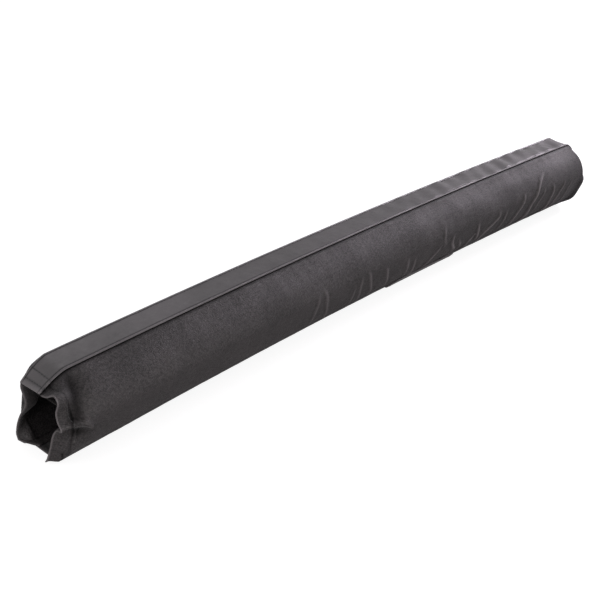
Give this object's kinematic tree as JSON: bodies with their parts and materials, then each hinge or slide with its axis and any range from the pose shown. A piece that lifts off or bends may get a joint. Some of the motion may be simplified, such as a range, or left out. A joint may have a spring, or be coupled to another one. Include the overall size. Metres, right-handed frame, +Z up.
{
  "type": "roof rack pad",
  "caption": "Long padded fabric sleeve with a coated top strip, open mouths at both ends and hook-and-loop straps that close it under a roof bar.",
  "frame": {"origin": "on the surface the closed pad rests on, under the middle of its box", "axes": "+X along the pad, +Z up out of the top strip, -Y towards the front side of the picture"},
  "size_m": [0.7594, 0.082, 0.0759],
  "materials": {
    "coated_cloth": "smooth coated cloth with a soft sheen",
    "black_weave": "plain woven polyester, matt with a faint sheen",
    "foam": "closed-cell foam, matt",
    "liner_cloth": "thin lining cloth, matt",
    "strap_cloth": "woven strap cloth, matt",
    "tape_nylon": "hook and loop nylon, matt"
  },
  "bodies": {
    "root": {"top_strip": "coated_cloth", "front_side_panel": "black_weave", "rear_side_panel": "black_weave", "foam_core": "foam", "tunnel_liner": "liner_cloth", "closure_strap_1": "strap_cloth", "closure_strap_2": "strap_cloth", "closure_strap_3": "strap_cloth", "closure_strap_4": "strap_cloth", "hook_tape_1": "tape_nylon", "hook_tape_2": "tape_nylon", "hook_tape_3": "tape_nylon", "hook_tape_4": "tape_nylon", "loop_tape_1": "tape_nylon", "loop_tape_2": "tape_nylon", "loop_tape_3": "tape_nylon", "loop_tape_4": "tape_nylon"}
  },
  "joints": []
}
